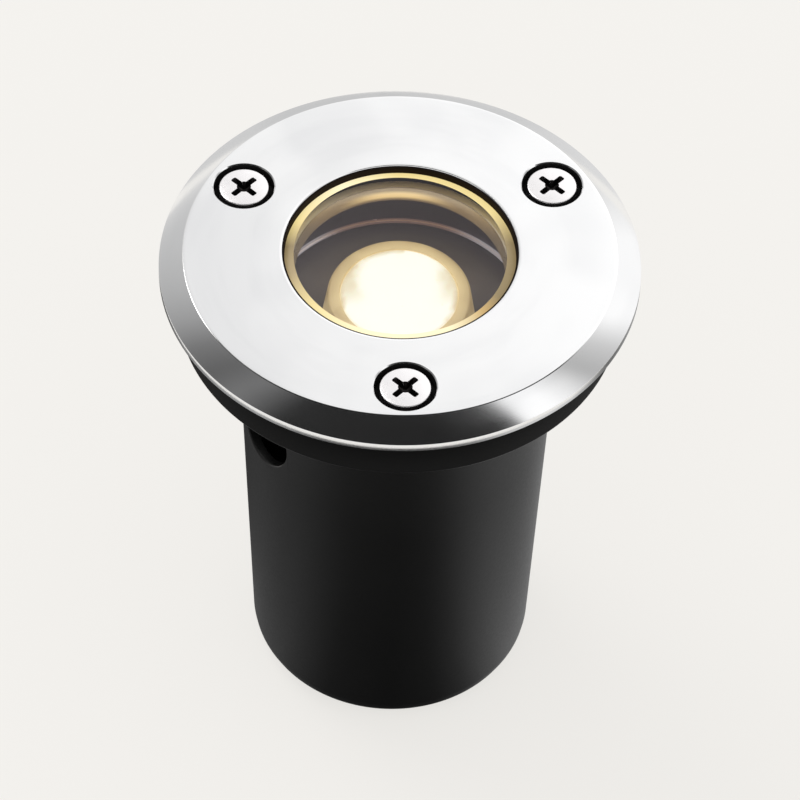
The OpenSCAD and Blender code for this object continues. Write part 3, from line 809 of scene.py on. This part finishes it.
def thread_ridge(radius, low, high, pitch):
    """A helical ridge for a screw thread, standing on a core."""
    depth = 0.5 * pitch
    rounds = int((high - low) / pitch) - 1
    nothing_selected()
    bpy.ops.mesh.primitive_circle_add(
        vertices=3, radius=depth, location=(radius - depth / 2, 0, low + pitch * 0.75),
        rotation=(math.radians(90), math.radians(90), 0))
    ridge = bpy.context.object
    ridge.name = "thread"
    settle(ridge)
    screw = ridge.modifiers.new("screw", "SCREW")
    screw.axis = "Z"
    screw.screw_offset = pitch
    screw.iterations = rounds
    screw.steps = 24
    screw.render_steps = 24
    bpy.ops.object.modifier_apply(modifier=screw.name)
    bpy.ops.object.mode_set(mode="EDIT")
    bpy.ops.mesh.select_all(action="SELECT")
    bpy.ops.mesh.remove_doubles(threshold=weld)
    bpy.ops.mesh.fill_holes(sides=3)
    bpy.ops.mesh.normals_make_consistent(inside=False)
    bpy.ops.object.mode_set(mode="OBJECT")
    return ridge


def trim_screws():
    """Three pan-head screws with cross recesses and threads, each in its well."""
    core = thread_r - 0.45 * mm
    point = 0.5 * mm
    outline = rounded([
        (0, shank_low), (core - point, shank_low), (core, shank_low + point), (core, head_low - 0.4 * mm),
        (thread_r, head_low), (head_r, head_low, 0.2 * mm), (head_r, head_top - 0.1 * mm, 0.3 * mm),
        (0, head_top)])
    head = spun("trim_screw", outline, steps=72, shut=False)
    carved(head, cross_tool())
    smooth(head, angle=28)
    steel = screw_steel()
    painted(head, steel)
    # painted shade: the drive recess is painted near-black
    painted(head, recess_painted_shade(),
            lambda centre, normal: (head_low + mm < centre.z < head_top - 0.35 * mm
                                    and centre.xy.length < cross_span / 2 + slack))
    ridge = thread_ridge(thread_r - 0.35 * mm, shank_low, head_low, thread_pitch)
    painted(ridge, steel)
    head = joined([head, ridge], "trim_screw")
    screws = []
    for number, turn in enumerate(turns(screw_count), 1):
        screw = copied(head, "trim_screw_%d" % number)
        # turned back first, so that every recess stands the same way in the ring
        screw.data.transform(Matrix.Rotation(-turn, 4, "Z"))
        screws.append(moved(screw, (0, -screw_circle, 0), turn))
    bpy.data.objects.remove(head)
    return screws


def lens_glass():
    """Stepped glass: a thin edge under the ring and a raised middle with a ground bevel."""
    shoulder = glass_low + glass_edge_t
    outline = rounded([
        (0, glass_low), (glass_r, glass_low, 0.3 * mm), (glass_r, shoulder, 0.3 * mm), (raised_r, shoulder),
        (raised_r, glass_top - ground_h, 0.1 * mm), (raised_r - ground_w, glass_top, 0.1 * mm),
        (0, glass_top)])
    glass = spun("lens_glass_body", outline, shut=False)
    smooth(glass, angle=20)
    painted(glass, clear_glass())
    # painted glow on the glass's ground bevel
    painted(glass, ground_glass_with_painted_glow(),
            lambda centre, normal: (centre.z > shoulder + slack
                                    and centre.xy.length > raised_r - ground_w - 0.05 * mm))
    return glass


def lens_gasket():
    """Black ring that wraps the glass's edge and lines the opening's wall."""
    shoulder = glass_low + glass_edge_t
    plate = ring_top - plate_t
    soft = 0.12 * mm
    outline = rounded([
        (gasket_bore, gasket_low, soft), (gasket_r, gasket_low, 2 * soft), (gasket_r, plate, 2 * soft),
        (lining_r, plate), (lining_r, lining_top, soft), (gasket_bore, lining_top, soft),
        (gasket_bore, shoulder), (glass_r, shoulder), (glass_r, glass_low), (gasket_bore, glass_low)])
    gasket = spun("lens_gasket_body", outline)
    smooth(gasket)
    painted(gasket, black_silicone())
    return gasket


# Pieces of the fixture and the lamp

def lens_frame():
    """Flange and skirt under the glass, with a bore that widens a little upwards."""
    outer = frame_bore + skirt_t
    shelf = frame_top - frame_flange_t
    outline = rounded([
        (frame_bore - frame_flare, frame_low, 0.25 * mm), (outer, frame_low, 0.5 * mm), (outer, shelf),
        (frame_r, shelf, 0.2 * mm), (frame_r, frame_top, 0.2 * mm),
        (frame_bore + frame_flare, frame_top, 0.3 * mm)])
    piece = spun("lens_frame_body", outline)
    smooth(piece)
    painted(piece, frame_metal())
    painted(piece, frame_wall(),
            lambda centre, normal: abs(normal.z) < 0.5 and centre.xy.length < frame_bore + frame_flare)
    return piece


def baffle_plate():
    """Dark plate round the lamp, with a turned-down lip at its hole and a bright turned-up outer edge."""
    turn_up = 0.8 * mm
    rim = 0.12 * mm
    low = baffle_top - baffle_t
    outline = rounded([
        (baffle_hole, baffle_low, 0.2 * mm), (baffle_hole + baffle_t, baffle_low, 0.2 * mm),
        (baffle_hole + baffle_t, low, 0.3 * mm), (baffle_r, low, 0.3 * mm),
        (baffle_r, baffle_top + turn_up)])
    outline += arc_points((baffle_r - rim - turn_up, baffle_top + turn_up), turn_up, 0, -90, steps=10)
    outline += rounded([(baffle_r - rim - turn_up, baffle_top), (baffle_hole, baffle_top, 0.6 * mm),
                        (baffle_hole, baffle_low)])[1:-1]
    plate = spun("baffle_plate_body", outline)
    smooth(plate)
    painted(plate, baffle_satin())
    # painted highlight on the baffle's turned-up edge
    painted(plate, baffle_edge_painted_highlight(), lambda centre, normal: centre.z > baffle_top + 0.02 * mm)
    return plate


def lamp_bezel():
    """Front ring of the lamp, a little narrower at its face, whose lip holds the lens."""
    seat = lamp_top - 2 * mm
    inner = lens_r - 1.4 * mm
    lip_bore = glow_r + 0.05 * mm
    taper = 0.8 * mm
    outline = rounded([
        (inner, lamp_low), (lamp_r, lamp_low, 0.2 * mm), (lamp_r, lamp_low + mm, 0.3 * mm),
        (lamp_r - taper, lamp_top, 0.7 * mm), (lip_bore, lamp_top, 0.2 * mm), (lip_bore, seat),
        (inner, seat)])
    bezel = spun("lamp_bezel_body", outline, steps=120)
    smooth(bezel)
    painted(bezel, bezel_gold())
    return bezel


def lamp_lens():
    """The lamp's front lens, with a rounded edge."""
    low = lowest("lamp_lens")
    top = highest("lamp_lens")
    crown = 0.5 * mm
    edge = arc_points((glow_r - crown, top - crown), crown, 0, 90, steps=6)
    lens = spun("lamp_lens_body", [(0, low), (glow_r, low)] + edge + [(0, top)], steps=120, shut=False)
    smooth(lens)
    painted(lens, lit_lens())
    return lens


# The sleeve

def barrel_at(z):
    """Outside radius of the barrel at a height."""
    return barrel_r - (collar_z - z) * math.tan(barrel_draft)


def sleeve():
    """The moulded sleeve: collar, drafted barrel and rounded foot, with its holes and ribs."""
    foot_r = barrel_at(foot_fillet)
    # a ring of points just under the side hole, so that the cut leaves the faces below it whole
    below_hole = side_hole_z - side_hole_r - 0.8 * mm
    outline = rounded([
        (floor_hole_r, 0, 0.4 * mm), (foot_r, 0, foot_fillet), (barrel_at(below_hole), below_hole),
        (barrel_at(collar_z), collar_z, 0.8 * mm),
        (collar_r, collar_z, collar_fillet), (collar_r, sleeve_top, 0.5 * mm),
        (collar_r - sleeve_wall, sleeve_top, 0.5 * mm), (collar_r - sleeve_wall, ledge_z, 0.6 * mm),
        (barrel_at(ledge_z) - sleeve_wall, ledge_z, 0.6 * mm),
        (barrel_at(below_hole) - sleeve_wall, below_hole),
        (foot_r - sleeve_wall, sleeve_floor, foot_fillet - sleeve_wall),
        (floor_hole_r, sleeve_floor, 0.4 * mm)], steps=6)
    shell = spun("mounting_sleeve_body", outline, steps=192)
    hole = round_bar("side_hole", side_hole_r, low=20 * mm, high=60 * mm, steps=96)
    hole.data.transform(Matrix.Rotation(math.radians(90), 4, "X"))
    moved(hole, (0, 0, side_hole_z), side_hole_angle)
    carved(shell, hole)
    ease_hole_rim(shell)
    for turn in turns(drain_count, 0.5):
        drain = round_bar("drain", drain_r, low=-mm, high=sleeve_floor + mm, steps=32)
        carved(shell, moved(drain, (0, -drain_circle, 0), turn))
    for turn in turns(screw_count, 0.5):
        for side in (-rib_angle, 0, rib_angle):
            carved(shell, moved(ledge_rib(), turn=turn + side), "UNION")
    smooth(shell, angle=30)
    painted(shell, moulded_black("sleeve_satin", dark=0.0030, light=0.0052, rough=0.30))
    # painted shade: the collar is painted darker just under the ring and paler towards its lower edge
    ring_shade_heights = (sleeve_top - 2 * mm, collar_z + mm)
    painted(shell, moulded_black("collar_matt_painted_shade", dark=0.0010, light=0.0068, rough=0.50, heights=ring_shade_heights),
            lambda centre, normal: centre.z > collar_z + collar_fillet and centre.xy.length > barrel_r)
    # painted highlight: a paler line painted along the collar's lower edge
    painted(shell, moulded_black("collar_edge_painted_highlight", dark=0.011, light=0.018, rough=0.32),
            lambda centre, normal: (centre.xy.length > collar_r - collar_fillet and normal.z < -0.2
                                    and collar_z - slack < centre.z < collar_z + 0.55 * collar_fillet))
    return shell


def ease_hole_rim(shell):
    """Rounds the outer rim of the side hole."""
    outward = Matrix.Rotation(side_hole_angle, 3, "Z") @ Vector((0, -1, 0))
    across = Vector((outward.y, -outward.x, 0))

    def on_rim(spot):
        off = math.hypot(spot.dot(across), spot.z - side_hole_z)
        return (abs(off - side_hole_r) < 0.05 * mm and spot.dot(outward) > 0
                and spot.xy.length > barrel_at(spot.z) - 0.2 * mm)

    only(shell)
    bpy.ops.object.mode_set(mode="EDIT")
    bpy.ops.mesh.select_mode(type="EDGE")
    bpy.ops.mesh.select_all(action="DESELECT")
    mesh = bmesh.from_edit_mesh(shell.data)
    for edge in mesh.edges:
        if all(on_rim(corner.co) for corner in edge.verts):
            edge.select_set(True)
    bmesh.update_edit_mesh(shell.data)
    bpy.ops.mesh.bevel(offset=0.7 * mm, segments=3, affect="EDGES")
    bpy.ops.object.mode_set(mode="OBJECT")


def ledge_rib():
    """An upright rib inside the collar, with eased edges, that the housing's flange rests on."""
    inner, outer = collar_r - sleeve_wall - rib_l, collar_r - sleeve_wall + 0.3 * mm
    low, high = ledge_z - 0.3 * mm, rib_top
    nothing_selected()
    bpy.ops.mesh.primitive_cube_add(size=1, location=(0, -(inner + outer) / 2, (low + high) / 2),
                                    scale=(rib_t, outer - inner, high - low))
    rib = bpy.context.object
    settle(rib)
    return eased(rib, 0.4 * mm, segments=2, angle=60)


# Inner parts

def softened(node, width, finish):
    """Takes over a plain inner part: its facets merged, its sharp edges rounded, and given its finish."""
    source = frame["nodes"][node]
    piece = bpy.data.objects.new(node + "_body", source.data.copy())
    bpy.context.scene.collection.objects.link(piece)
    only(piece)
    bpy.ops.object.mode_set(mode="EDIT")
    bpy.ops.mesh.customdata_custom_splitnormals_clear()
    bpy.ops.mesh.select_mode(type="VERT")
    bpy.ops.mesh.select_all(action="SELECT")
    bpy.ops.mesh.remove_doubles(threshold=0.002 * mm)
    bpy.ops.mesh.dissolve_limited(angle_limit=math.radians(1))
    bpy.ops.object.mode_set(mode="OBJECT")
    eased(piece, width, segments=2, angle=40)
    smooth(piece)
    painted(piece, finish)
    fit(piece, source["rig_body"], node)


def inner_parts():
    """The parts that show when the light is taken apart."""
    coat = cast_grey()
    zinc = plain_metal("zinc_plate", colour(0.50, 0.50, 0.49), colour(0.64, 0.64, 0.62), rough=0.3)
    black = nylon("black_nylon", colour(0.010, 0.010, 0.011), colour(0.022, 0.022, 0.023))
    brass = plain_metal("bare_brass", colour(0.62, 0.43, 0.17), colour(0.76, 0.56, 0.26), rough=0.25)
    tin = plain_metal("tinned_pin", colour(0.66, 0.65, 0.61), colour(0.78, 0.77, 0.73), rough=0.2)
    shell = plain_metal("fin_aluminium", colour(0.50, 0.50, 0.51), colour(0.66, 0.66, 0.67), rough=0.34)
    rubber = satin_paint("soft_rubber", colour(0.020, 0.020, 0.020), colour(0.040, 0.039, 0.038),
                         rough=0.7, scale=900.0)
    fired = satin_paint("fired_ceramic", colour(0.66, 0.63, 0.57), colour(0.76, 0.73, 0.68),
                        rough=0.5, scale=700.0)
    mask = satin_paint("solder_mask", colour(0.70, 0.70, 0.67), colour(0.80, 0.80, 0.77),
                       rough=0.25, scale=300.0, depth=0.01)
    phosphor = satin_paint("phosphor", colour(0.86, 0.55, 0.08), colour(0.95, 0.68, 0.16),
                           rough=0.6, scale=1500.0, depth=0.01)
    natural = nylon("natural_nylon", colour(0.66, 0.66, 0.62), colour(0.74, 0.74, 0.70))
    softened("housing", 0.35 * mm, coat)
    softened("lamp_shell", 0.15 * mm, shell)
    softened("led_board", 0.05 * mm, mask)
    softened("led_emitter", 0.1 * mm, phosphor)
    softened("lamp_base", 0.3 * mm, fired)
    softened("lamp_pins", 0.15 * mm, tin)
    softened("lamp_socket", 0.3 * mm, fired)
    softened("socket_contacts", 0.05 * mm, tin)
    softened("socket_bracket", 0.15 * mm, zinc)
    softened("bracket_screws", 0.1 * mm, zinc)
    softened("terminal_block", 0.3 * mm, natural)
    softened("terminal_tubes", 0.1 * mm, brass)
    softened("terminal_screws", 0.05 * mm, zinc)
    for node in ("gland_body", "gland_locknut", "gland_nut"):
        softened(node, 0.25 * mm, black)
    for node in ("gland_washer", "gland_seal"):
        softened(node, 0.15 * mm, rubber)


# The studio and the camera

floor_side = 12
sky_light = 0.86
# the direction that the ring's flat face mirrors into the camera
flat_mirror = (0.035, 0.67, 0.74)
# how the white that it mirrors changes to the right, back and up, and its level: 0.975 in the middle
white_slope = (1.45, 0.0, -1.0)
white_level = 0.975 - Vector(white_slope).dot(Vector(flat_mirror).normalized())
# how far from that direction the white begins, and where it is full
zone_edge, zone_full = math.radians(31), math.radians(20)
# what a mirror sees round the studio, as (degrees to the right of the front, grey) pairs
sky_greys = [(-180, 0.66), (-156, 0.70), (-140, 0.60), (-124, 0.48), (-114, 0.36), (-104, 0.20), (-92, 0.12),
             (-80, 0.20), (-70, 0.10), (-60, 0.02), (20, 0.015), (50, 0.03), (57, 0.12), (61, 1.14),
             (74, 1.12), (84, 0.80), (92, 0.42), (104, 0.62), (114, 1.05), (138, 1.0), (150, 0.78),
             (179.9, 0.66)]
near_greys = [(-180, 0.05), (-128, 0.09), (-96, 0.26), (-63, 0.30), (-48, 0.22), (-32, 0.10), (0, 0.05),
              (20, 0.09), (34, 0.24), (48, 0.52), (63, 0.66), (96, 0.56), (128, 0.65), (179.9, 0.1)]
far_greys = [(-180, 0.60), (-140, 0.66), (-100, 0.90), (-60, 1.0), (120, 1.0), (150, 0.74), (179.9, 0.58)]
# the cards: flat rings that lie just over the floor
card_z = 0.2 * mm
near_card_hole, near_card_r = mm, 0.158
far_card_hole, far_card_r = 0.30, 1.2


def lit_share(paint, share, glow):
    """Lets camera, mirror and glass rays see a share of the floor as its own pale colour."""
    tree = paint.tree
    glowing = tree.nodes.new("ShaderNodeEmission")
    glowing.inputs["Color"].default_value = glow
    mixed = tree.nodes.new("ShaderNodeMixShader")
    seen = paint.ray("Is Camera Ray") + paint.ray("Is Glossy Ray") + paint.ray("Is Transmission Ray")
    paint.feed(mixed.inputs[0], paint.maths("MINIMUM", seen, 1.0) * share)
    tree.links.new(paint.shader.outputs[0], mixed.inputs[1])
    tree.links.new(glowing.outputs[0], mixed.inputs[2])
    tree.links.new(mixed.outputs[0], tree.nodes["Material Output"].inputs["Surface"])


def stage_floor():
    """The pale floor that the light stands on."""
    nothing_selected()
    bpy.ops.mesh.primitive_plane_add(size=floor_side)
    floor = bpy.context.object
    floor.name = "floor"
    paint = Paint("pale_floor", Roughness=1.0, Specular_IOR_Level=0.0)
    paint.set(Base_Color=colour(0.895, 0.880, 0.850))
    lit_share(paint, share=0.8, glow=colour(0.905, 0.888, 0.856))
    painted(floor, paint.material)


def reflection_card(name, inside, outside, pairs):
    """A flat ring on the floor that only glossy surfaces see, graded round as a studio's cards are."""
    card = spun(name, [(inside, card_z), (outside, card_z)], steps=96, shut=False)
    paint = Paint(name, Roughness=1.0, Specular_IOR_Level=0.0, Emission_Strength=1.0)
    paint.set(Base_Color=colour(0, 0, 0), Emission_Color=paint.round_ramp(paint.place(), greys(pairs)))
    painted(card, paint.material)
    for way in ("camera", "diffuse", "transmission", "volume_scatter", "shadow"):
        setattr(card, "visible_" + way, False)


def studio():
    """A plain even sky for the light; mirrors see grey cards, white above the back and a pale top."""
    world = bpy.data.worlds.new("studio")
    bpy.context.scene.world = world
    world.use_nodes = True
    paint = Paint("studio", world.node_tree)
    way = paint.node("ShaderNodeTexCoord", output="Generated")
    cards = paint.round_ramp(way, greys(sky_greys))
    nearness = paint.vectors("DOT_PRODUCT", way, flat_mirror, output="Value")
    white = paint.vectors("DOT_PRODUCT", way, white_slope, output="Value") + white_level
    whites = paint.node("ShaderNodeCombineColor", None, {0: white, 1: white, 2: white})
    in_zone = paint.between(nearness, math.cos(zone_edge), math.cos(zone_full))
    seen = paint.blend(in_zone, cards, whites)
    back_part, up_part = paint.part(way, 1), paint.part(way, 2)
    low_front = paint.between(back_part, -0.15, -0.45) * paint.between(up_part, 0.62, 0.40)
    overhead = paint.between(up_part, 0.955, 0.99)
    light = colour(sky_light, sky_light, sky_light)
    seen = paint.blend(paint.maths("MINIMUM", low_front + overhead, 1.0), seen, light)
    background = world.node_tree.nodes["Background"]
    paint.feed(background.inputs["Color"], paint.blend(paint.ray("Is Glossy Ray"), light, seen))
    background.inputs["Strength"].default_value = 1.0


def lamps():
    """One broad soft light from above, to the left and behind."""
    sun = bpy.data.lights.new("key", "SUN")
    sun.energy = 0.75
    sun.angle = math.radians(28)
    sun.color = (1.0, 0.985, 0.97)
    key = bpy.data.objects.new("key", sun)
    bpy.context.scene.collection.objects.link(key)
    towards = Vector((0.55, -0.55, -1.0))
    key.rotation_euler = towards.to_track_quat("-Z", "Y").to_euler()


def camera():
    """The photograph's view: from the front at 49 degrees down, a little turned and rolled."""
    pitch = math.radians(49.0675)
    turn = math.radians(-2.8343)
    roll = math.radians(1.7701)
    # from the middle of the ring's face, in radii of the ring
    depth, right_shift, up_shift = 16.9583, -0.0171, 0.6184
    spin = Matrix.Rotation(turn, 3, "Z")
    ahead = spin @ Vector((0, math.cos(pitch), -math.sin(pitch)))
    right = spin @ Vector((1, 0, 0))
    up = spin @ Vector((0, math.sin(pitch), math.cos(pitch)))
    eye = Vector((0, 0, ring_top)) - ring_r * (right_shift * right + up_shift * up + depth * ahead)
    right_rolled = math.cos(roll) * right + math.sin(roll) * up
    up_rolled = math.cos(roll) * up - math.sin(roll) * right
    data = bpy.data.cameras.new("camera")
    data.sensor_width = 36
    data.lens = 184.68
    data.clip_end = 50
    view = bpy.data.objects.new("camera", data)
    bpy.context.scene.collection.objects.link(view)
    place = Matrix((right_rolled, up_rolled, -ahead)).transposed().to_4x4()
    place.translation = eye
    view.matrix_world = place
    bpy.context.scene.camera = view


# Everything in its place

fit(trim_ring(), "cover", "trim_ring")
for screw in trim_screws():
    fit(screw, "cover", "trim_screws")
fit(lens_glass(), "cover", "lens_glass")
fit(lens_gasket(), "cover", "lens_gasket")
fit(lens_frame(), "fixture", "lens_frame")
fit(baffle_plate(), "fixture", "baffle_plate")
fit(lamp_bezel(), "lamp", "lamp_bezel")
fit(lamp_lens(), "lamp", "lamp_lens")
fit(sleeve(), "sleeve", "mounting_sleeve")
inner_parts()

stage_floor()
reflection_card("near_card", near_card_hole, near_card_r, near_greys)
reflection_card("far_card", far_card_hole, far_card_r, far_greys)
studio()
lamps()
camera()
bpy.context.scene.view_settings.view_transform = "Standard"
